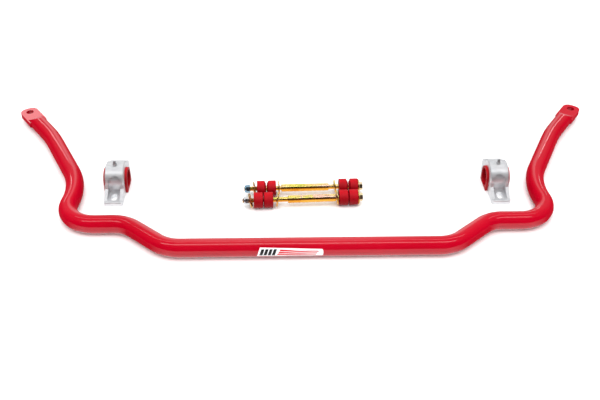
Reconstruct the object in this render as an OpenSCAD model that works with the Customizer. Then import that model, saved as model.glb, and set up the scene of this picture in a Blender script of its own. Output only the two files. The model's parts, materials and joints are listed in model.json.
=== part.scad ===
// Automotive front sway bar kit, laid out flat: a bent tubular bar with welded end eyes,
// two D bushings in machined saddle brackets, and two bolt-through end links.
// +X runs along the bar, +Y from its centre section towards the end eyes, +Z up.

/* [Bar tube] */
// Outside diameter of the bar
bar_d = 35; // [30:0.5:38]
// Wall thickness of the tube
bar_wall = 5; // [3:0.5:6]
// Half length of the centre section, to the corner of its first bend
centre_half = 261; // [240:1:280]
// Sideways run of the sloping part of the S bend
s_run = 83; // [70:1:100]
// How far the S bend sets the bar back
s_offset = 72; // [60:1:80]
// Length from the S bend to the elbow's corner
shoulder = 126; // [120:1:150]
// How far the arm leans back inwards between the elbow and the arm bend
arm_lean = 17; // [5:1:20]
// Length along Y from the elbow's corner to the arm bend
arm_first = 124; // [124:1:140]
// Sideways run from the arm bend to the last bend
arm_out = 91; // [80:1:95]
// Length along Y from the arm bend to the last bend
arm_back = 181; // [170:1:200]
// Sideways run from the last bend to the eye hole
tip_out = 70; // [60:1:75]
// Length along Y from the last bend to the eye hole
tip_back = 99; // [95:1:110]
// Centreline radii of the five bends, from the middle outwards
bend_r = [68, 62, 58, 180, 300];

/* [End eyes] */
// Thickness of the flat eye plate
eye_t = 12; // [8:0.5:14]
// Width of the flat eye plate
eye_w = 38; // [36:0.5:44]
// Diameter of the hole for the end link
eye_hole_d = 16; // [12:0.5:18]
// Distance from the plate's shoulders to the hole
eye_reach = 46; // [40:1:50]
// Distance from the hole to the end of the plate
eye_end = 17.5; // [16:0.5:22]
// Radius of the plate's outer corners
eye_corner_r = 15; // [8:0.5:16]

/* [Brackets] */
// Distance of the left bracket's middle from the centre of the bar
mount_x = 381; // [340:1:390]
// Distance of the left bushing's axis behind the centre section's axis
mount_y = 218.5; // [214:0.5:240]
// Width of the bracket along the bar
bracket_w = 37; // [34:1:44]
// Outside radius of the arch
arch_r = 34.5; // [33:0.5:36]
// Length of the front foot from the bushing axis
foot_front = 68; // [64:1:74]
// Thickness of the front foot
foot_t = 8; // [6:0.5:10]
// Width of the pocket between the two side rails
pocket_w = 24; // [20:0.5:27]
// Width of the bolt slot in the foot
slot_w = 13; // [10:0.5:15]
// Length of the bolt slot in the foot
slot_l = 22; // [16:0.5:24]

/* [Bushings] */
// Outside radius of the D bushing
bushing_r = 22.5; // [21:0.5:25]
// Height of the bushing axis above the bracket's base
bushing_h = 20; // [19.5:0.5:22]
// Length of the bushing
bushing_l = 47; // [42:1:50]
// Width of the slit that lets the bushing open round the bar
slit_w = 1; // [0.5:0.1:2]

/* [End links] */
// Distance of the back link's middle behind the centre section's axis
back_link_y = 187.6; // [184:0.2:190]
// Distance of the front link's middle behind the centre section's axis
front_link_y = 149.7; // [146:0.2:152]
// Angle at which the back link lies
back_link_yaw = 1.7; // [0:0.1:2.5]
// Angle at which the front link lies
front_link_yaw = 2.4; // [0:0.1:3]
// Diameter of the bolts
bolt_d = 9.5; // [9:0.05:9.6]
// Length of the bolts under the head
bolt_l = 230; // [229:0.5:231]
// Outside diameter of the spacer sleeves
sleeve_d = 15; // [14:0.5:16]
// Length of the spacer sleeves
sleeve_l = 94; // [90:0.5:94]
// Diameter of the grommets
grommet_d = 31; // [30:0.5:32]
// Length of the grommets without their centring nose
grommet_l = 17.8; // [16:0.2:17.8]
// Diameter of the cupped washers
washer_d = 29.5; // [28:0.5:30]
// Sheet thickness of the cupped washers
washer_t = 1.6; // [1.2:0.1:1.6]

/* [Hidden] */
$fn = 96;

powder_red = [0.80, 0.05, 0.08];
poly_red = [0.72, 0.06, 0.10];
bare_aluminium = [0.80, 0.81, 0.83];
yellow_zinc = [0.86, 0.72, 0.32];
silver_zinc = [0.74, 0.75, 0.77];

// Bending leaves the bends a hair slimmer than the straights, which run a little way into them.
bend_thinning = 0.1;
lap = 1;

// The tube's centreline as corners, then the end of the tube short of the eye plate's shoulders.
bar_z = bar_d / 2;
corners = [
    [0, 0],
    [centre_half, 0],
    [centre_half + s_run, s_offset],
    [centre_half + s_run + shoulder, s_offset],
    [centre_half + s_run + shoulder - arm_lean, s_offset + arm_first],
    [centre_half + s_run + shoulder - arm_lean + arm_out, s_offset + arm_first + arm_back]
];
eye = corners[5] + [tip_out, tip_back];
eye_angle = atan2(tip_back, tip_out);
neck_before = 10;
neck_after = 15;
tube_end = eye - (eye_reach + neck_before) * [cos(eye_angle), sin(eye_angle)];
path = concat(corners, [tube_end]);

// The part stands on z = 0, centred over its own outline.
sticker_t = 0.2;
tip_y = eye[1] + (eye_end - eye_corner_r) * sin(eye_angle)
    + (eye_w / 2 - eye_corner_r) * cos(eye_angle) + eye_corner_r;
centre_y = (tip_y - bar_z - sticker_t) / 2;

// The right bracket lies a little farther out and nearer the centre section than the left one.
right_shift = [3.5, -4.5];
bushing_gap = 0.3;
pocket_wall = 6.5;
rail_top = 20;
fitting_hole_r = 3;
fitting_lean = 5;

link_z = grommet_d / 2;
head_af = 14.3;
head_t = 6.1;
nut_hex_t = 7.5;
nut_t = 10.5;
thread_l = 42;
thread_pitch = 1.5875;
thread_depth = 0.6;
nut_bore_r = bolt_d / 2 + 0.05;
ring_r = 6;
grommet_nose_l = 0.6;
washer_cup = 1.2;

// Where the pieces lie on each bolt, from the middle of the link towards the head:
// washers are [place, lean, swing, side that the cup faces], grommets are the place of their flat end.
BACK = 0;
FRONT = 1;
link_y = [back_link_y, front_link_y];
link_yaw = [back_link_yaw, front_link_yaw];
head_at = [105.1, 102.7];
nut_at = [-113.3, -114.5];
sleeve_at = [-4, 8.8];
washers_at = [
    [[-105.5, -8, 0, 1], [-54.9, -2.5, 0, -1], [55.1, -5, 3, 1], [104, 0, 0, -1]],
    [[-110.3, -14, 0, -1], [-57.5, 4, -8, -1], [57.7, -5, 0, 1], [101.6, 0, 0, -1]]
];
grommets_at = [[-99.4, -61.6, 63.8, 101.7], [-105.2, -67.4, 61.9, 99.3]];
nose_side = [1, -1, 1, -1];
// Length and radial depth of the grommets' cones.
grommet_cone = [[2.8, 5.3], [1, 1]];

function heading(a, b) = atan2(b[1] - a[1], b[0] - a[0]);
function turn(i) = heading(path[i], path[i + 1]) - heading(path[i - 1], path[i]);
function setback(i) = i == len(path) - 1 ? 0 : bend_r[i - 1] * tan(abs(turn(i)) / 2);

module in_place() {
    translate([0, -centre_y, 0]) children();
}

module along_x() {
    rotate([90, 0, 90]) children();
}

module ring_2d(outer_r, inner_r) {
    difference() {
        circle(r = outer_r);
        circle(r = inner_r);
    }
}

module tube_ring_2d(thinning) {
    ring_2d(bar_d / 2 - thinning, bar_d / 2 - bar_wall + thinning);
}

// Straight stretch from corner i to the next one, less what the bends take.
module straight(i) {
    a = path[i];
    b = path[i + 1];
    angle = heading(a, b);
    from = setback(i) - lap;
    to = norm(b - a) - setback(i + 1) + (i == len(path) - 2 ? 0 : lap);
    start = a + from * [cos(angle), sin(angle)];
    translate([start[0], start[1], bar_z])
        rotate([0, 0, angle]) along_x() linear_extrude(to - from) tube_ring_2d(0);
}

// Bend at corner i.
module bend(i) {
    angle = heading(path[i - 1], path[i]);
    side = sign(turn(i));
    r = bend_r[i - 1];
    start = path[i] - setback(i) * [cos(angle), sin(angle)];
    hub = start + side * r * [-sin(angle), cos(angle)];
    first = side > 0 ? angle - 90 : angle + 90 + turn(i);
    translate([hub[0], hub[1], bar_z])
        rotate([0, 0, first])
            rotate_extrude(angle = abs(turn(i))) translate([r, 0]) tube_ring_2d(bend_thinning);
}

module half_tube() {
    for (i = [1 : len(path) - 2]) {
        straight(i);
        bend(i);
    }
}

module bar_tube() {
    run = centre_half - setback(1) + lap;
    color(powder_red) {
        translate([-run, 0, bar_z]) along_x() linear_extrude(2 * run) tube_ring_2d(0);
        half_tube();
        mirror([1, 0, 0]) half_tube();
    }
}

// Outline of the eye plate from its shoulders, along +X, with its hole.
module eye_plate_2d() {
    end = eye_reach + eye_end;
    side = eye_w / 2 - eye_corner_r;
    difference() {
        union() {
            translate([0, -eye_w / 2]) square([end - eye_corner_r, eye_w]);
            translate([0, -side]) square([end, 2 * side]);
            for (s = [-1, 1]) translate([end - eye_corner_r, s * side]) circle(r = eye_corner_r);
        }
        translate([eye_reach, 0]) circle(d = eye_hole_d);
    }
}

// Welded end: a spigot inside the tube, a neck that flattens from round, and the eye plate.
module end_eye() {
    spigot_l = 30;
    spigot_gap = 0.05;
    translate([eye[0], eye[1], bar_z]) rotate([0, 0, eye_angle]) translate([-eye_reach, 0, 0]) {
        translate([0, 0, -eye_t / 2]) linear_extrude(eye_t) eye_plate_2d();
        intersection() {
            translate([-neck_before, 0, 0]) along_x() cylinder(d = bar_d, h = neck_before + neck_after);
            translate([0, bar_d, 0]) rotate([90, 0, 0]) linear_extrude(2 * bar_d) polygon([
                [-neck_before, -bar_d / 2],
                [neck_after, -eye_t / 2],
                [neck_after, eye_t / 2],
                [-neck_before, bar_d / 2]
            ]);
        }
        translate([-neck_before - spigot_l, 0, 0])
            along_x() cylinder(r = bar_d / 2 - bar_wall - spigot_gap, h = spigot_l + lap);
    }
}

module right_end_eye() {
    color(powder_red) end_eye();
}

module left_end_eye() {
    color(powder_red) mirror([1, 0, 0]) end_eye();
}

// Plain printed sticker wrapped over the upper front of the centre section.
module sticker() {
    sticker_l = 120;
    sticker_mid_x = -37;
    first_angle = 133;
    wrap = 78;
    color("white") translate([sticker_mid_x - sticker_l / 2, 0, bar_z])
        along_x() rotate([0, 0, first_angle])
            rotate_extrude(angle = wrap) translate([bar_d / 2, 0]) square([sticker_t, sticker_l]);
}

// Slab as wide as the bracket from a side view, whose X is depth and Y is height.
module slab() {
    translate([-bracket_w / 2, 0, 0]) along_x() linear_extrude(bracket_w) children();
}

// Solid of the bracket before its cuts. The slabs start below Z = 0, where the plan cuts them off.
module bracket_slabs() {
    under = 4;
    foot_r = 3;
    rail_end = foot_front - 8;
    rail_back = arch_r - 4;
    lug_back = 47;
    lug_top = 36;
    lug_r = 8;
    slab() translate([0, bushing_h]) circle(r = arch_r);
    slab() translate([-arch_r, -under]) square([2 * arch_r, bushing_h + under]);
    // front foot
    slab() polygon([
        [-foot_front, -under], [-foot_front, foot_t - foot_r], [-foot_front + foot_r, foot_t],
        [-rail_back, foot_t], [-rail_back, -under]
    ]);
    slab() translate([-foot_front + foot_r, foot_t - foot_r]) circle(r = foot_r);
    // side rails, sloping down to the foot
    slab() polygon([
        [-rail_end, foot_t], [-arch_r - 3, rail_top], [-arch_r, rail_top + 7],
        [-rail_back, rail_top + 7], [-rail_back, foot_t - 3], [-rail_end, foot_t - 3]
    ]);
    // rear lug
    slab() polygon([
        [arch_r - 5, -under], [arch_r - 5, bushing_h], [20, bushing_h + 12], [25, 37.2], [31, 38.5],
        [lug_back - lug_r, lug_top], [lug_back, lug_top - lug_r], [lug_back, -under]
    ]);
    slab() translate([lug_back - lug_r, lug_top - lug_r]) circle(r = lug_r);
}

// Notch between the arch and the lug, and the seat of the bushing.
module bracket_side_cuts() {
    seat_r = bushing_r + bushing_gap;
    translate([-bracket_w, 0, 0]) along_x() linear_extrude(2 * bracket_w)
        polygon([[18, 60], [18, 50.2], [25, 37.2], [31, 38.5], [36, 60]]);
    translate([-bracket_w, 0, bushing_h]) along_x() cylinder(r = seat_r, h = 2 * bracket_w);
    translate([-bracket_w, -seat_r, -5]) cube([2 * bracket_w, 2 * seat_r, bushing_h + 5]);
}

// Plan of the bracket, with rounded corners on the foot.
module bracket_plan_2d() {
    corner_r = 5;
    back = 60;
    middle_w = bracket_w - 2 * corner_r;
    translate([-bracket_w / 2, -foot_front + corner_r]) square([bracket_w, foot_front + back]);
    translate([-middle_w / 2, -foot_front]) square([middle_w, 3 * corner_r]);
    for (s = [-1, 1]) translate([s * middle_w / 2, -foot_front + corner_r]) circle(r = corner_r);
}

// Arch-topped pocket between the rails, open to the front and down to the top of the foot.
module bracket_pocket() {
    pocket_r = pocket_w / 2;
    top_of_sides = 31.5;
    reach = foot_front + 5;
    wall_r = bushing_r + pocket_wall;
    difference() {
        union() {
            translate([0, 0, top_of_sides]) rotate([90, 0, 0]) cylinder(r = pocket_r, h = reach);
            translate([-pocket_r, -reach, foot_t]) cube([pocket_w, reach, top_of_sides - foot_t]);
        }
        translate([-bracket_w, 0, bushing_h]) along_x() cylinder(r = wall_r, h = 2 * bracket_w);
        translate([-bracket_w, -wall_r, 0]) cube([2 * bracket_w, 2 * wall_r, bushing_h]);
    }
}

module bolt_slot() {
    slot_y = -48.5;
    side = (slot_l - slot_w) / 2;
    translate([0, slot_y, -1]) {
        for (s = [-1, 1]) translate([0, s * side, 0]) cylinder(d = slot_w, h = foot_t + 2);
        translate([-slot_w / 2, -side, 0]) cube([slot_w, 2 * side, foot_t + 2]);
    }
}

// Ring that bevels the rim of the arch at the bracket's +X side.
module arch_rim_bevel() {
    bevel = 1.5;
    translate([bracket_w / 2, 0, bushing_h]) along_x() rotate([0, 0, 62]) rotate_extrude(angle = 106)
        polygon([[arch_r - bevel, 0.1], [arch_r + 1, 0.1], [arch_r + 1, -bevel - 1], [arch_r, -bevel]]);
}

module bracket() {
    difference() {
        intersection() {
            union() bracket_slabs();
            linear_extrude(2 * arch_r) bracket_plan_2d();
        }
        bracket_side_cuts();
        bracket_pocket();
        bolt_slot();
        arch_rim_bevel();
        mirror([1, 0, 0]) arch_rim_bevel();
        translate([0, 0, bushing_h]) rotate([fitting_lean, 0, 0]) cylinder(r = fitting_hole_r, h = arch_r + 5);
    }
}

// D bushing with its bore along X and a slit through the thin wall under the bore.
module bushing() {
    bore_r = bar_d / 2;
    lead_in = 1;
    under = 4;
    difference() {
        translate([-bushing_l / 2, 0, 0]) along_x() linear_extrude(bushing_l) {
            translate([0, bushing_h]) circle(r = bushing_r);
            translate([-bushing_r, -under]) square([2 * bushing_r, bushing_h + under]);
        }
        translate([-bushing_l, -2 * bushing_r, -2 * under]) cube([2 * bushing_l, 4 * bushing_r, 2 * under]);
        translate([-bushing_l / 2 - 1, 0, bushing_h]) along_x() cylinder(r = bore_r, h = bushing_l + 2);
        for (s = [0, 1]) mirror([s, 0, 0]) translate([bushing_l / 2 - lead_in, 0, bushing_h])
            along_x() cylinder(r1 = bore_r, r2 = bore_r + 2 * lead_in, h = 2 * lead_in);
        translate([-bushing_l, -slit_w / 2, -1]) cube([2 * bushing_l, slit_w, bushing_h + 1]);
    }
}

// Grease fitting: threaded stem in the crown of the arch, hexagon, and nipple.
module grease_fitting() {
    translate([0, 0, bushing_h]) rotate([fitting_lean, 0, 0]) translate([0, 0, arch_r]) {
        translate([0, 0, -6]) cylinder(r = fitting_hole_r - 0.05, h = 6.5);
        cylinder(d = 9, h = 3.2, $fn = 6);
        translate([0, 0, 3]) rotate_extrude() polygon([
            [0, 0], [3, 0], [2.9, 1.2], [1.9, 2.4], [1.9, 3], [3.1, 4.2], [3.1, 4.8], [1.6, 6.6], [0, 6.6]
        ]);
    }
}

module at_mount(side) {
    shift = side > 0 ? right_shift : [0, 0];
    translate([side * mount_x + shift[0], mount_y + shift[1], 0]) children();
}

// Frame of one link: X runs along its bolt towards the head, with the origin in its middle.
module at_link(link) {
    translate([0, link_y[link], link_z]) rotate([0, 0, link_yaw[link]]) children();
}

// Bolt with a chamfered hexagon head and rings for its thread.
module link_bolt(link) {
    r = bolt_d / 2;
    turns = floor(thread_l / thread_pitch);
    tip = head_at[link] - bolt_l;
    plain_from = tip + 1.5 + turns * thread_pitch;
    thread = [for (i = [0 : 2 * turns])
        [r - (i % 2 == 0 ? 0 : thread_depth), tip + 1.5 + i * thread_pitch / 2]];
    along_x() {
        rotate_extrude() polygon(concat(
            [[0, tip], [r - 1.2, tip]], thread, [[r, plain_from], [r, head_at[link] + 0.5], [0, head_at[link] + 0.5]]
        ));
        translate([0, 0, head_at[link]]) intersection() {
            cylinder(d = head_af / cos(30), h = head_t, $fn = 6);
            rotate_extrude() polygon([
                [0, 0], [head_af / 2 + 1.5, 0], [head_af / 2 + 1.5, head_t - 0.9],
                [head_af / 2 - 0.4, head_t], [0, head_t]
            ]);
        }
    }
}

// Locking nut: chamfered hexagon and the round collar that holds the ring.
module link_nut(link) {
    collar_r = 7.1;
    chamfer = 0.8;
    translate([nut_at[link], 0, 0]) mirror([1, 0, 0]) along_x() difference() {
        union() {
            intersection() {
                cylinder(d = head_af / cos(30), h = nut_hex_t, $fn = 6);
                rotate_extrude() polygon([
                    [0, 0], [head_af / 2 - 0.2, 0], [head_af / 2 + 1.5, chamfer],
                    [head_af / 2 + 1.5, nut_hex_t - chamfer], [head_af / 2 - 0.2, nut_hex_t], [0, nut_hex_t]
                ]);
            }
            cylinder(r = collar_r, h = nut_t - 0.7);
            translate([0, 0, nut_t - 0.7]) cylinder(r1 = collar_r, r2 = collar_r - 0.6, h = 0.7);
        }
        translate([0, 0, -1]) cylinder(r = nut_bore_r, h = nut_t + 2);
        translate([0, 0, nut_hex_t]) cylinder(r = ring_r, h = nut_t);
    }
}

// Ring pressed into the nut's collar.
module link_lock_ring(link) {
    translate([nut_at[link], 0, 0]) mirror([1, 0, 0]) along_x()
        translate([0, 0, nut_hex_t]) linear_extrude(nut_t - nut_hex_t - 0.4) ring_2d(ring_r, nut_bore_r);
}

module link_sleeve(link) {
    bore_r = 5.25;
    chamfer = 0.5;
    translate([sleeve_at[link] - sleeve_l / 2, 0, 0]) along_x() rotate_extrude() polygon([
        [bore_r, 0], [sleeve_d / 2 - chamfer, 0], [sleeve_d / 2, chamfer],
        [sleeve_d / 2, sleeve_l - chamfer], [sleeve_d / 2 - chamfer, sleeve_l], [bore_r, sleeve_l]
    ]);
}

// Grommet with a flat end for the washer and a cone with a short centring nose for the eye.
module link_grommet(link, i) {
    r = grommet_d / 2;
    bore_r = 5;
    nose_d = 15.6;
    edge = 0.8;
    cone = grommet_cone[link];
    translate([grommets_at[link][i], 0, 0]) mirror([nose_side[i] < 0 ? 1 : 0, 0, 0])
        along_x() rotate_extrude() polygon([
            [bore_r, 0], [r - edge, 0], [r, edge], [r, grommet_l - cone[0]],
            [r - cone[1], grommet_l], [nose_d / 2, grommet_l],
            [nose_d / 2, grommet_l + grommet_nose_l], [bore_r, grommet_l + grommet_nose_l]
        ]);
}

// Cupped washer: a flat middle, a cone, and a flat rim set towards the cupped side.
module link_washer(link, i) {
    w = washers_at[link][i];
    r = washer_d / 2;
    bore_r = 5.5;
    flat_r = 11.5;
    rim_r = 13;
    half_t = washer_t / 2;
    translate([w[0], 0, 0]) rotate([0, w[1], w[2]]) mirror([w[3] < 0 ? 1 : 0, 0, 0])
        along_x() rotate_extrude() polygon([
            [bore_r, -half_t], [flat_r, -half_t], [rim_r, washer_cup - half_t], [r, washer_cup - half_t],
            [r, washer_cup + half_t], [rim_r, washer_cup + half_t], [flat_r, half_t], [bore_r, half_t]
        ]);
}

in_place() bar_tube();
in_place() left_end_eye();
in_place() right_end_eye();
in_place() sticker();
in_place() color(bare_aluminium) at_mount(-1) bracket();  // left_bracket
in_place() color(poly_red) at_mount(-1) bushing();  // left_bushing
in_place() color(silver_zinc) at_mount(-1) grease_fitting();  // left_grease_fitting
in_place() color(bare_aluminium) at_mount(1) bracket();  // right_bracket
in_place() color(poly_red) at_mount(1) bushing();  // right_bushing
in_place() color(silver_zinc) at_mount(1) grease_fitting();  // right_grease_fitting
in_place() color(yellow_zinc) at_link(BACK) link_bolt(BACK);  // back_link_bolt
in_place() color(silver_zinc) at_link(BACK) link_nut(BACK);  // back_link_nut
in_place() color("royalblue") at_link(BACK) link_lock_ring(BACK);  // back_link_lock_ring
in_place() color(yellow_zinc) at_link(BACK) link_sleeve(BACK);  // back_link_sleeve
in_place() color(yellow_zinc) at_link(BACK) link_washer(BACK, 0);  // back_link_washer_1
in_place() color(poly_red) at_link(BACK) link_grommet(BACK, 0);  // back_link_grommet_1
in_place() color(poly_red) at_link(BACK) link_grommet(BACK, 1);  // back_link_grommet_2
in_place() color(yellow_zinc) at_link(BACK) link_washer(BACK, 1);  // back_link_washer_2
in_place() color(yellow_zinc) at_link(BACK) link_washer(BACK, 2);  // back_link_washer_3
in_place() color(poly_red) at_link(BACK) link_grommet(BACK, 2);  // back_link_grommet_3
in_place() color(poly_red) at_link(BACK) link_grommet(BACK, 3);  // back_link_grommet_4
in_place() color(yellow_zinc) at_link(BACK) link_washer(BACK, 3);  // back_link_washer_4
in_place() color(yellow_zinc) at_link(FRONT) link_bolt(FRONT);  // front_link_bolt
in_place() color(silver_zinc) at_link(FRONT) link_nut(FRONT);  // front_link_nut
in_place() color("white") at_link(FRONT) link_lock_ring(FRONT);  // front_link_lock_ring
in_place() color(yellow_zinc) at_link(FRONT) link_sleeve(FRONT);  // front_link_sleeve
in_place() color(yellow_zinc) at_link(FRONT) link_washer(FRONT, 0);  // front_link_washer_1
in_place() color(poly_red) at_link(FRONT) link_grommet(FRONT, 0);  // front_link_grommet_1
in_place() color(poly_red) at_link(FRONT) link_grommet(FRONT, 1);  // front_link_grommet_2
in_place() color(yellow_zinc) at_link(FRONT) link_washer(FRONT, 1);  // front_link_washer_2
in_place() color(yellow_zinc) at_link(FRONT) link_washer(FRONT, 2);  // front_link_washer_3
in_place() color(poly_red) at_link(FRONT) link_grommet(FRONT, 2);  // front_link_grommet_3
in_place() color(poly_red) at_link(FRONT) link_grommet(FRONT, 3);  // front_link_grommet_4
in_place() color(yellow_zinc) at_link(FRONT) link_washer(FRONT, 3);  // front_link_washer_4
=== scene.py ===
"""Looks of the sway bar kit: bar, end eyes, D bushings in their brackets, and two end links."""

import json
import math

import bmesh
import bpy
from mathutils import Matrix, Vector


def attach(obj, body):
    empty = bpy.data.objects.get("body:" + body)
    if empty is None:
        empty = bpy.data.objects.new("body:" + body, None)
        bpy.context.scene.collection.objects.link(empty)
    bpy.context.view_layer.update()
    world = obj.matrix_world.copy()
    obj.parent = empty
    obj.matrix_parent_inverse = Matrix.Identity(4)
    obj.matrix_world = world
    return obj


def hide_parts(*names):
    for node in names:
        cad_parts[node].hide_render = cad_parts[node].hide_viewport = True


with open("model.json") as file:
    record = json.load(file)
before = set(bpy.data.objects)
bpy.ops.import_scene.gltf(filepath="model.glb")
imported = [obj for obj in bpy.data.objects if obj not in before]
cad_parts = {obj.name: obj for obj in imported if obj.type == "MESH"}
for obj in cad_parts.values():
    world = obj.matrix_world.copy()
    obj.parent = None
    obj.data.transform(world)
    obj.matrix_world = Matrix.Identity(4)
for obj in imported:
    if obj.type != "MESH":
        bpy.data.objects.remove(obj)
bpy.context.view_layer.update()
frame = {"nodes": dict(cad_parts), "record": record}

MM = 0.001
RECORD = frame["record"]
BODY_OF = {node: body for body, nodes in RECORD["behaviour"]["bodies"].items() for node in nodes}
SLOT_OF = {row["node"]: row["material_slot"] for row in RECORD["subparts"]}
MOUNTS = {mount["name"]: mount for mount in RECORD["mounts"]}

# The bar, in millimetres from the middle of its centre section, as in the CAD model.
TUBE_R = 17.5
BEND_CORNERS = [(0, 0), (261, 0), (344, 72), (470, 72), (453, 196), (544, 377)]
BEND_RADII = [68, 62, 58, 180, 300]
EYE = (614, 476)
EYE_T = 12
NECK_L = 25
TUBE_END_TO_EYE = 56

# Where the centre section's axis lies in the frame, in metres.
AXIS_Y = MOUNTS["right_eye"]["pos_m"][1] - EYE[1] * MM

# The sticker, in millimetres and degrees: its ends along the bar, its upper and lower edge round
# the tube, its thickness, and how deep its marks start and how far they stand out.
STICKER_X = (-97, 23)
STICKER_ANGLES = (133, 211)
STICKER_T = 0.12
MARKS_INNER = TUBE_R + 0.05
MARKS_OUTER = TUBE_R + 0.2
# How far its slanted ends lean, as a fraction of its length.
SLANT = 0.05

# The camera, in metres and degrees.
CAMERA_AT = Vector((-0.0578, -1.4031, 0.9873))
CAMERA_PITCH = 36.567
CAMERA_YAW = 1.886
CAMERA_ROLL = 0.608

# The sky's radiance by the direction's turn about X, and its dimming by how far it points aside.
SKY = [
    (0.0, 1.0), (0.22, 1.0), (0.30, 1.25), (0.485, 1.25), (0.50, 0.03), (0.66, 0.03),
    (0.69, 0.45), (0.74, 0.55), (0.83, 0.7), (0.87, 1.3), (0.96, 1.3), (1.0, 1.0),
]
SKY_ASIDE = [(0.08, 1.0), (0.2, 0.3), (0.8, 0.2)]

# The overhead strips of light, in metres: how far they reach to each side, and their height.
STRIP_REACH = 1.5
STRIP_HEIGHT = 1.8


# ---------------------------------------------------------------- materials

# Places of the factor, the two colours and the result among a colour Mix node's sockets.
MIX_INPUTS = (0, 6, 7)
MIX_RESULT = 2


class Nodes:
    """A shader node tree, with short ways to add to it."""

    def __init__(self, tree):
        self.tree = tree

    def node(self, kind, **values):
        made = self.tree.nodes.new("ShaderNode" + kind)
        for name, value in values.items():
            setattr(made, name, value)
        return made

    def link(self, output, target):
        self.tree.links.new(output, target)

    def math(self, operation, *values):
        """One step of arithmetic on numbers and outputs."""
        made = self.node("Math", operation=operation)
        for socket, value in zip(made.inputs, values):
            if isinstance(value, (int, float)):
                socket.default_value = value
            else:
                self.link(value, socket)
        return made.outputs[0]

    def ramp(self, factor, stops):
        """The colours of those stops, mixed between them by the factor."""
        made = self.node("ValToRGB")
        elements = made.color_ramp.elements
        while len(elements) < len(stops):
            elements.new(0.5)
        for element, (place, colour) in zip(elements, stops):
            element.position = place
            element.color = (*colour, 1)
        self.link(factor, made.inputs["Fac"])
        return made.outputs["Color"]

    def grey_ramp(self, factor, stops):
        return self.ramp(factor, [(place, (value, value, value)) for place, value in stops])


class Shader(Nodes):
    """A Principled material whose colour, roughness and bump come from procedural nodes."""

    def __init__(self, name, **sockets):
        self.material = bpy.data.materials.new(name)
        self.material.use_nodes = True
        super().__init__(self.material.node_tree)
        self.bsdf = self.tree.nodes["Principled BSDF"]
        for socket, value in sockets.items():
            self.bsdf.inputs[socket.replace("_", " ")].default_value = value
        self.coords = self.node("TexCoord").outputs["Object"]
        self.height = None

    def stretched(self, scale):
        """Coordinates scaled differently along each axis."""
        mapping = self.node("Mapping")
        mapping.inputs["Scale"].default_value = scale
        self.link(self.coords, mapping.inputs["Vector"])
        return mapping.outputs["Vector"]

    def noise(self, scale, detail=3, roughness=0.5, coords=None, distortion=0):
        made = self.node("TexNoise")
        made.inputs["Scale"].default_value = scale
        made.inputs["Detail"].default_value = detail
        made.inputs["Roughness"].default_value = roughness
        made.inputs["Distortion"].default_value = distortion
        self.link(coords or self.coords, made.inputs["Vector"])
        return made.outputs["Fac"]

    def mix(self, factor, first, second, blend="MIX"):
        """Two colours blended by a factor. Each of the three is a plain value or an output."""
        made = self.node("Mix", data_type="RGBA", blend_type=blend)
        for place, value in zip(MIX_INPUTS, (factor, first, second)):
            socket = made.inputs[place]
            if isinstance(value, (int, float)):
                socket.default_value = value
            elif isinstance(value, tuple):
                socket.default_value = (*value, 1)
            else:
                self.link(value, socket)
        return made.outputs[MIX_RESULT]

    def colour(self, output):
        self.link(output, self.bsdf.inputs["Base Color"])

    def roughness(self, output):
        self.link(output, self.bsdf.inputs["Roughness"])

    def bump(self, factor, depth):
        """Adds a bump of that depth, in metres, to those added before."""
        made = self.node("Bump")
        made.inputs["Strength"].default_value = 1
        made.inputs["Distance"].default_value = depth
        self.link(factor, made.inputs["Height"])
        if self.height is not None:
            self.link(self.height, made.inputs["Normal"])
        self.height = made.outputs["Normal"]
        self.link(self.height, self.bsdf.inputs["Normal"])

    def facing(self, direction):
        """How squarely the surface faces that way: 1 toward it, -1 away from it."""
        made = self.node("VectorMath", operation="DOT_PRODUCT")
        self.link(self.node("NewGeometry").outputs["Normal"], made.inputs[0])
        made.inputs[1].default_value = direction
        return made.outputs["Value"]

    def raised(self):
        """From 0 where the surface faces down and forward to 1 where it faces up and back."""
        made = self.node("MapRange")
        self.link(self.facing((0, 0.6, 0.8)), made.inputs["Value"])
        made.inputs["From Min"].default_value = -1
        return made.outputs["Result"]

    def edges(self, low, high):
        """White where the surface is an outside edge."""
        pointiness = self.node("NewGeometry").outputs["Pointiness"]
        return self.grey_ramp(pointiness, [(low, 0), (high, 1)])


def powder_coat(name, painted_reflection_toward=None):
    """Glossy red. With a direction given, what faces it squarely gets a paler pink tone: a painted
    reflection.
    """
    s = Shader(name, Roughness=0.3, Specular_IOR_Level=0.0, Coat_Weight=1.0,
               Coat_Roughness=0.06, Coat_IOR=1.5)
    tone = s.ramp(s.noise(9, 4), [(0.3, (0.42, 0.0008, 0.011)), (0.7, (0.48, 0.0012, 0.015))])
    fleck = s.grey_ramp(s.noise(2600, 2), [(0.45, 0.93), (0.62, 1.0)])
    if painted_reflection_toward:
        # Painted reflection: pale pink where the surface faces that direction squarely.
        painted_reflection_mask = s.grey_ramp(s.facing(painted_reflection_toward), [(0.985, 0), (0.995, 1)])
        tone = s.mix(painted_reflection_mask, tone, (0.62, 0.26, 0.28))
    s.colour(s.mix(1.0, tone, fleck, "MULTIPLY"))
    s.roughness(s.grey_ramp(s.noise(60, 4), [(0.3, 0.24), (0.7, 0.36)]))
    s.bump(s.noise(330, 2), 0.00006)
    s.bump(s.noise(1500, 2), 0.00001)
    # The coat is thinner where the tube's flanks face sideways.
    aside = s.math("ABSOLUTE", s.facing((1, 0, 0)))
    s.link(s.grey_ramp(aside, [(0.25, 1.0), (0.62, 0.06)]), s.bsdf.inputs["Coat Weight"])
    return s.material


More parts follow.
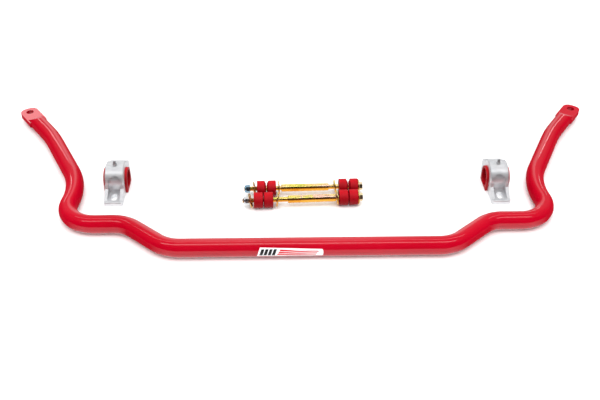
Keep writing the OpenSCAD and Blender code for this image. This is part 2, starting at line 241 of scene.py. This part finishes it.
def polyurethane():
    s = Shader("polyurethane", Specular_IOR_Level=0.1, Subsurface_Weight=0.03)
    s.bsdf.inputs["Subsurface Radius"].default_value = (0.004, 0.0008, 0.0006)
    tone = s.ramp(s.noise(45, 5), [(0.3, (0.36, 0.001, 0.006)), (0.7, (0.46, 0.0015, 0.009))])
    rub = s.mix(s.edges(0.52, 0.6), tone, (0.62, 0.04, 0.045))
    # Painted shade: what faces up is lighter, and the undersides stay deep red.
    painted_shade = s.grey_ramp(s.raised(), [(0.35, 0.62), (0.85, 1.0)])
    s.colour(s.mix(1.0, rub, painted_shade, "MULTIPLY"))
    s.roughness(s.grey_ramp(s.noise(130, 5), [(0.3, 0.34), (0.7, 0.56)]))
    s.bump(s.noise(420, 5), 0.00012)
    s.bump(s.noise(2400, 3), 0.00003)
    return s.material


def machined_aluminium():
    s = Shader("machined_aluminium", Metallic=0.8)
    tone = s.ramp(s.noise(70, 5), [(0.3, (0.74, 0.755, 0.78)), (0.7, (0.84, 0.845, 0.86))])
    along = s.stretched((0.15, 1, 1))
    scuffs = s.grey_ramp(s.noise(500, 6, 0.7, along), [(0.35, 0.92), (0.6, 1.0)])
    s.colour(s.mix(1.0, tone, scuffs, "MULTIPLY"))
    s.roughness(s.grey_ramp(s.noise(160, 4), [(0.3, 0.36), (0.7, 0.48)]))
    tool_marks = s.noise(1800, 2, 0.5, s.stretched((0.04, 1, 1)))
    s.bump(tool_marks, 0.00002)
    s.bump(s.noise(260, 3), 0.00002)
    return s.material


def yellow_zinc():
    s = Shader("yellow_zinc", Metallic=1.0)
    bands = s.noise(38, 3, 0.55, s.stretched((0.55, 1, 1)), 0.6)
    upper = s.ramp(bands, [
        (0.28, (0.58, 0.66, 0.10)), (0.40, (0.93, 0.78, 0.18)), (0.50, (0.97, 0.72, 0.30)),
        (0.60, (0.97, 0.60, 0.50)), (0.72, (0.86, 0.78, 0.16)),
    ])
    lower = s.ramp(bands, [(0.35, (0.74, 0.26, 0.015)), (0.65, (0.88, 0.44, 0.06))])
    # Its mottled tints are the chromate's own; the change by facing, lemon on what faces up and back, a
    # brown band, and orange on what faces down and forward, is painted reflection and painted shade.
    shade = s.mix(s.grey_ramp(s.raised(), [(0.30, 0), (0.42, 1)]), lower, (0.48, 0.24, 0.05))
    tone = s.mix(s.grey_ramp(s.raised(), [(0.46, 0), (0.58, 1)]), shade, upper)
    s.colour(s.mix(s.edges(0.53, 0.62), tone, (0.92, 0.86, 0.62)))
    s.roughness(s.grey_ramp(s.noise(220, 4), [(0.3, 0.20), (0.7, 0.36)]))
    s.bump(s.noise(1300, 3, 0.5, s.stretched((0.2, 1, 1))), 0.00001)
    return s.material


def silver_zinc(name, dark, light):
    s = Shader(name, Metallic=1.0)
    tone = s.ramp(s.noise(160, 4), [(0.3, dark), (0.7, light)])
    s.colour(s.mix(s.edges(0.53, 0.62), tone, (0.92, 0.92, 0.92)))
    s.roughness(s.grey_ramp(s.noise(420, 4), [(0.3, 0.24), (0.7, 0.42)]))
    s.bump(s.noise(1500, 3), 0.00001)
    return s.material


def nylon(name, dark, light):
    s = Shader(name, Roughness=0.35, Coat_Weight=0.2, Coat_Roughness=0.2)
    s.colour(s.ramp(s.noise(400, 3), [(0.3, dark), (0.7, light)]))
    s.roughness(s.grey_ramp(s.noise(700, 3), [(0.3, 0.28), (0.7, 0.42)]))
    s.bump(s.noise(1500, 2), 0.00002)
    return s.material


def vinyl(name, dark, light):
    s = Shader(name, Specular_IOR_Level=0.2, Coat_Weight=0.15, Coat_Roughness=0.12)
    s.colour(s.ramp(s.noise(90, 3), [(0.3, dark), (0.7, light)]))
    s.roughness(s.grey_ramp(s.noise(300, 3), [(0.3, 0.25), (0.7, 0.38)]))
    s.bump(s.noise(500, 2), 0.00003)
    return s.material


RED = powder_coat("red_powder_coat")
SLOT_MATERIALS = {
    "red_powder_coat": RED,
    "polyurethane": polyurethane(),
    "aluminium": machined_aluminium(),
    "yellow_zinc": yellow_zinc(),
    "zinc": silver_zinc("silver_zinc", (0.66, 0.68, 0.70), (0.82, 0.83, 0.84)),
    "blue_nylon": nylon("blue_nylon", (0.01, 0.05, 0.30), (0.02, 0.10, 0.45)),
    "white_nylon": nylon("white_nylon", (0.70, 0.70, 0.68), (0.82, 0.82, 0.80)),
    "sticker": vinyl("white_vinyl", (0.86, 0.86, 0.87), (0.92, 0.92, 0.93)),
}
# The back nut's zinc: blue-tinted, and darker than the front nut's as painted shade for the dark front
# it mirrors.
PAINTED_DARK_BLUE_ZINC = silver_zinc("painted_dark_blue_zinc", (0.16, 0.30, 0.42), (0.30, 0.48, 0.60))
BLACK_VINYL = vinyl("black_vinyl", (0.006, 0.006, 0.007), (0.012, 0.012, 0.013))
RED_VINYL = vinyl("red_vinyl", (0.60, 0.010, 0.020), (0.70, 0.014, 0.026))


# ------------------------------------------------------------------ pieces


def placed(name, data):
    """A new object in the scene."""
    made = bpy.data.objects.new(name, data)
    bpy.context.scene.collection.objects.link(made)
    return made


def new_piece(name, vertices, faces, material, body):
    """A piece with a mesh of its own. Creases sharper than 35 degrees stay sharp."""
    mesh = bpy.data.meshes.new(name)
    mesh.from_pydata([tuple(v) for v in vertices], [], faces)
    bm = bmesh.new()
    bm.from_mesh(mesh)
    bmesh.ops.recalc_face_normals(bm, faces=bm.faces)
    bm.to_mesh(mesh)
    bm.free()
    mesh.shade_smooth()
    mesh.set_sharp_from_angle(angle=math.radians(35))
    mesh.materials.append(material)
    piece = placed(name, mesh)
    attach(piece, body)
    return piece


def refined(node, bevel, segments=3, material=None, crease=28):
    """The CAD node as one clean mesh, which stands for it. Edges sharper than the crease, in
    degrees, are softened by a bevel, in millimetres."""
    weld = 0.002 * MM
    flat = math.radians(0.4)
    mesh = bpy.data.meshes.new(node + "_fine")
    bm = bmesh.new()
    bm.from_mesh(frame["nodes"][node].data)
    bmesh.ops.remove_doubles(bm, verts=bm.verts, dist=weld)
    bmesh.ops.dissolve_limit(bm, angle_limit=flat, verts=bm.verts, edges=bm.edges)
    bm.to_mesh(mesh)
    bm.free()
    if "custom_normal" in mesh.attributes:
        mesh.attributes.remove(mesh.attributes["custom_normal"])
    mesh.shade_smooth()
    mesh.materials.clear()
    mesh.materials.append(material or SLOT_MATERIALS[SLOT_OF[node]])
    piece = placed(node + "_fine", mesh)
    soft = piece.modifiers.new("soft_edges", "BEVEL")
    soft.width = bevel * MM
    soft.segments = segments
    soft.limit_method = "ANGLE"
    soft.angle_limit = math.radians(crease)
    soft.harden_normals = True
    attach(piece, BODY_OF[node])
    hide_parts(node)
    return piece


def half_centreline():
    """Points of the tube's centreline from its middle to its right end, with their headings."""
    step = 2.5
    fewest = 6
    tip = math.atan2(EYE[1] - BEND_CORNERS[-1][1], EYE[0] - BEND_CORNERS[-1][0])
    end = Vector(EYE) - TUBE_END_TO_EYE * Vector((math.cos(tip), math.sin(tip)))
    corners = [Vector(c) for c in BEND_CORNERS] + [end]
    out = [(corners[0], 0.0)]
    for before, corner, after, radius in zip(corners, corners[1:], corners[2:], BEND_RADII):
        come = (corner - before).normalized()
        leave = (after - corner).normalized()
        first = math.atan2(come.y, come.x)
        turn = math.atan2(leave.y, leave.x) - first
        side = math.copysign(1, turn)
        start = corner - radius * math.tan(abs(turn) / 2) * come
        hub = start + side * radius * Vector((-come.y, come.x))
        steps = max(fewest, round(abs(math.degrees(turn)) / step))
        for i in range(steps + 1):
            heading = first + turn * i / steps
            outward = Vector((math.sin(heading), -math.cos(heading)))
            out.append((hub + side * radius * outward, heading))
    out.append((end, tip))
    return out


def bar_tube():
    """The bar as one smooth closed sweep."""
    around = 72
    half = half_centreline()
    left = [(Vector((-point.x, point.y)), -heading) for point, heading in reversed(half[1:])]
    stations = left + half
    vertices = []
    for point, heading in stations:
        across = Vector((-math.sin(heading), math.cos(heading), 0))
        middle = Vector((point.x * MM, point.y * MM + AXIS_Y, TUBE_R * MM))
        for i in range(around):
            angle = 2 * math.pi * i / around
            outward = math.cos(angle) * across + Vector((0, 0, math.sin(angle)))
            vertices.append(middle + TUBE_R * MM * outward)
    faces = []
    last = (len(stations) - 1) * around
    for ring in range(0, last, around):
        following = ring + around
        for i in range(around):
            k = (i + 1) % around
            faces.append((ring + i, ring + k, following + k, following + i))
    faces.append(tuple(range(around)))
    faces.append(tuple(range(last, last + around)))
    piece = new_piece("bar", vertices, faces, RED, BODY_OF["bar_tube"])
    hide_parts("bar_tube")


def neck_normal(side):
    """The way that the upper slope of an end eye's neck faces, from its plate up to the tube's
    top. The side is -1 for the left eye and 1 for the right one."""
    outward = (Vector(EYE) - Vector(BEND_CORNERS[-1])).normalized()
    slope = math.atan2(TUBE_R - EYE_T / 2, NECK_L)
    return (side * outward.x * math.sin(slope), outward.y * math.sin(slope), math.cos(slope))


def decal(name, shape, material, inner, outer, steps):
    """A thin plate wrapped on the tube, between two radii. shape(s, t), both from 0 to 1, gives
    (u, v) on the sticker: u from 0 at its left end to 1, and v from 0 at its lower edge to 1."""
    columns, rows = steps
    left, right = STICKER_X
    upper, lower = STICKER_ANGLES
    vertices = []
    for radius in (inner, outer):
        for i in range(columns + 1):
            for j in range(rows + 1):
                u, v = shape(i / columns, j / rows)
                angle = math.radians(lower + (upper - lower) * v)
                x = (left + (right - left) * u) * MM
                y = AXIS_Y + radius * math.cos(angle) * MM
                vertices.append((x, y, (TUBE_R + radius * math.sin(angle)) * MM))
    layer = (columns + 1) * (rows + 1)

    def at(i, j, top):
        return top * layer + i * (rows + 1) + j

    faces = []
    for i in range(columns):
        for j in range(rows):
            faces.append((at(i, j, 1), at(i + 1, j, 1), at(i + 1, j + 1, 1), at(i, j + 1, 1)))
            faces.append((at(i, j, 0), at(i, j + 1, 0), at(i + 1, j + 1, 0), at(i + 1, j, 0)))
    far = rows
    for i in range(columns):
        faces.append((at(i, 0, 0), at(i + 1, 0, 0), at(i + 1, 0, 1), at(i, 0, 1)))
        faces.append((at(i, far, 0), at(i, far, 1), at(i + 1, far, 1), at(i + 1, far, 0)))
    far = columns
    for j in range(rows):
        faces.append((at(0, j, 0), at(0, j, 1), at(0, j + 1, 1), at(0, j + 1, 0)))
        faces.append((at(far, j, 0), at(far, j + 1, 0), at(far, j + 1, 1), at(far, j, 1)))
    return new_piece(name, vertices, faces, material, BODY_OF["sticker"])


def plate_shape(s, t):
    """The white plate, with a leaning left end, a blunt right end and a sloping upper edge."""
    low = 0.08
    high = 0.88 - 0.16 * s
    blunt = 1 - 0.015 * s * (2 * t - 1) ** 4
    return (SLANT * t + s * (1 - SLANT * t)) * blunt, low + (high - low) * t


def bar_shape(number):
    """One of the slanted bars at the left end."""
    left = 0.03 + 0.062 * number
    width = 0.046
    foot = 0.18
    height = 0.56

    def shape(s, t):
        lean = SLANT * (0.15 + 0.7 * t)
        return left + lean + width * s, foot + height * t

    return shape


def stripe_shape(number):
    """One of the waving stripes, which get thinner and draw together to the right."""
    left = 0.31 + 0.02 * number
    length = 0.58
    foot = 0.19 + 0.18 * number
    sinking = 0.03 * number

    def shape(s, t):
        wave = 0.02 * math.sin(2 * math.pi * (1.2 * s + 0.15))
        thickness = 0.14 - 0.07 * s
        return left + length * s, foot - sinking * s + wave + thickness * t

    return shape


def sticker():
    """A white decal with a few slanted bars and speed stripes, and no lettering."""
    white = SLOT_MATERIALS["sticker"]
    piece = decal("decal_base", plate_shape, white, TUBE_R, TUBE_R + STICKER_T, (48, 8))
    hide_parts("sticker")
    for i in range(4):
        decal(f"decal_bar_{i + 1}", bar_shape(i), BLACK_VINYL, MARKS_INNER, MARKS_OUTER, (4, 8))
    for i in range(3):
        decal(f"decal_stripe_{i + 1}", stripe_shape(i), RED_VINYL, MARKS_INNER, MARKS_OUTER, (40, 3))


bar_tube()
sticker()
eyes = {}
for side_name, side in (("left", -1), ("right", 1)):
    # Each eye's coat gets a painted reflection, paler pink on its neck's upper slope.
    coat = powder_coat(f"{side_name}_eye_powder_coat", neck_normal(side))
    eyes[side_name] = refined(f"{side_name}_end_eye", 0.8, material=coat, crease=20)
    refined(f"{side_name}_bracket", 0.6)
    refined(f"{side_name}_bushing", 0.6)
    refined(f"{side_name}_grease_fitting", 0.2, segments=2)
for link, nut_material in (("back_link", PAINTED_DARK_BLUE_ZINC), ("front_link", None)):
    refined(f"{link}_bolt", 0.15, segments=1)
    refined(f"{link}_nut", 0.2, segments=2, material=nut_material)
    refined(f"{link}_lock_ring", 0.2, segments=2)
    refined(f"{link}_sleeve", 0.2, segments=2)
    for number in range(1, 5):
        refined(f"{link}_grommet_{number}", 0.5)
        refined(f"{link}_washer_{number}", 0.35)


# ---------------------------------------------------- floor, light, camera


def floor():
    half = 40
    gap = 0.0002
    corners = [(-half, -half, 0), (half, -half, 0), (half, half, 0), (-half, half, 0)]
    mesh = bpy.data.meshes.new("floor")
    mesh.from_pydata(corners, [], [(0, 1, 2, 3)])
    s = Shader("floor", Roughness=0.32, Specular_IOR_Level=0.35)
    s.colour(s.ramp(s.noise(2, 2), [(0.3, (0.93, 0.93, 0.93)), (0.7, (0.95, 0.95, 0.95))]))
    mesh.materials.append(s.material)
    piece = placed("floor", mesh)
    piece.location.z = -gap
    piece.visible_glossy = False


def studio_sky():
    """It is brightest straight ahead and darker to the sides."""
    world = bpy.data.worlds.new("studio")
    bpy.context.scene.world = world
    world.use_nodes = True
    s = Nodes(world.node_tree)
    parts = s.node("SeparateXYZ")
    s.link(s.node("TexCoord").outputs["Generated"], parts.inputs[0])
    x, y, z = parts.outputs
    # In whole turns: 0 and 1 behind and level, 0.25 straight down, 0.5 in front, 0.75 up.
    radians = s.math("ARCTAN2", s.math("MULTIPLY", z, -1), y)
    turn = s.math("FRACT", s.math("ADD", s.math("DIVIDE", radians, 2 * math.pi), 1.0))
    level = s.grey_ramp(turn, SKY)
    aside = s.grey_ramp(s.math("ABSOLUTE", x), SKY_ASIDE)
    dimming = s.math("MAXIMUM", aside, s.math("LESS_THAN", z, 0.0))
    background = s.tree.nodes["Background"]
    background.inputs["Color"].default_value = (1, 1, 1, 1)
    s.link(s.math("MULTIPLY", level, dimming), background.inputs["Strength"])


def strip_light(name, start, end, width, radiance, facing=(0, 0, -1)):
    """A long thin light between two points."""
    start = Vector(start)
    end = Vector(end)
    x = (end - start).normalized()
    y = x.cross(Vector(facing)).normalized()
    data = bpy.data.lights.new(name, "AREA")
    data.shape = "RECTANGLE"
    data.size = (end - start).length
    data.size_y = width
    data.energy = radiance * math.pi * data.size * width
    lamp = placed(name, data)
    turned = Matrix((x, y, x.cross(y))).transposed().to_4x4()
    lamp.matrix_world = Matrix.Translation((start + end) / 2) @ turned
    return lamp


def arm_strip(name, side):
    """A thin light, placed where the arm's gloss shows it as one fine line. Each of its ends lies
    where the camera sees it mirrored in the arm's middle, beside the crest by a fraction of the
    tube's radius, and is then moved along the arm. The side is -1 for the left arm, 1 for the right."""
    distance = 1.3
    start_aside, start_along = 0.30, -0.06
    end_aside, end_along = -0.10, 0.24
    elbow, bend = (Vector((side * x * MM, y * MM + AXIS_Y, TUBE_R * MM))
                   for x, y in BEND_CORNERS[-2:])
    along = (bend - elbow).normalized()
    middle = (elbow + bend) / 2
    seen_from = (CAMERA_AT - middle).normalized()
    front = (seen_from - seen_from.dot(along) * along).normalized()
    across = front.cross(along) * side

    def mirrored(fraction):
        normal = front * math.sqrt(1 - fraction ** 2) + across * fraction
        return 2 * normal.dot(seen_from) * normal - seen_from

    toward_start = mirrored(start_aside)
    toward_end = mirrored(end_aside)
    start = middle + distance * toward_start + start_along * along
    end = middle + distance * toward_end + end_along * along
    strip_light(name, start, end, width=0.035, radiance=7, facing=-(toward_start + toward_end))


def left_eye_card():
    """White card that the flat of the left eye reflects, and nothing else."""
    distance = 0.5
    shift = Vector((0.02, -0.035, 0))
    half = Vector((0.09, 0, 0))
    eye = Vector(MOUNTS["left_eye"]["pos_m"])
    seen_from = (CAMERA_AT - eye).normalized()
    toward = Vector((-seen_from.x, -seen_from.y, seen_from.z))
    centre = eye + distance * toward + shift
    lamp = strip_light("left_eye_card", centre - half, centre + half, 0.17, 2.4, -toward)
    only = bpy.data.collections.new("lit_by_left_eye_card")
    only.objects.link(eyes["left"])
    lamp.light_linking.receiver_collection = only


def soft_light(name, energy, spread, lean):
    """Broad light that shapes the colours and shadows and is kept out of the reflections. Its
    spread, and its lean toward the camera's side, are in degrees."""
    data = bpy.data.lights.new(name, "SUN")
    data.energy = energy
    data.angle = math.radians(spread)
    lamp = placed(name, data)
    lamp.rotation_euler = (math.radians(lean), 0, 0)
    lamp.visible_glossy = False


def camera():
    data = bpy.data.cameras.new("camera")
    data.lens = 50
    data.sensor_width = 36
    data.clip_end = 100
    seen = placed("camera", data)
    pitch = math.radians(CAMERA_PITCH)
    yaw = math.radians(CAMERA_YAW)
    roll = math.radians(CAMERA_ROLL)
    level = math.cos(pitch)
    forward = Vector((math.sin(yaw) * level, math.cos(yaw) * level, -math.sin(pitch)))
    right = Vector((math.cos(yaw), -math.sin(yaw), 0))
    up = right.cross(forward)
    turned = Matrix((right, up, -forward)).transposed() @ Matrix.Rotation(roll, 3, "Z")
    seen.matrix_world = Matrix.Translation(CAMERA_AT) @ turned.to_4x4()
    bpy.context.scene.camera = seen


floor()
studio_sky()
for strip, depth, width, radiance in (("strip_back", 0.60, 0.14, 3.5), ("strip_front", -0.59, 0.25, 4)):
    strip_left = (-STRIP_REACH, depth, STRIP_HEIGHT)
    strip_right = (STRIP_REACH, depth, STRIP_HEIGHT)
    strip_light(strip, strip_left, strip_right, width, radiance)
arm_strip("arm_strip_left", -1)
arm_strip("arm_strip_right", 1)
left_eye_card()
soft_light("key", energy=3.2, spread=100, lean=6)
soft_light("fill", energy=1.2, spread=90, lean=55)
camera()
bpy.context.scene.view_settings.view_transform = "Standard"
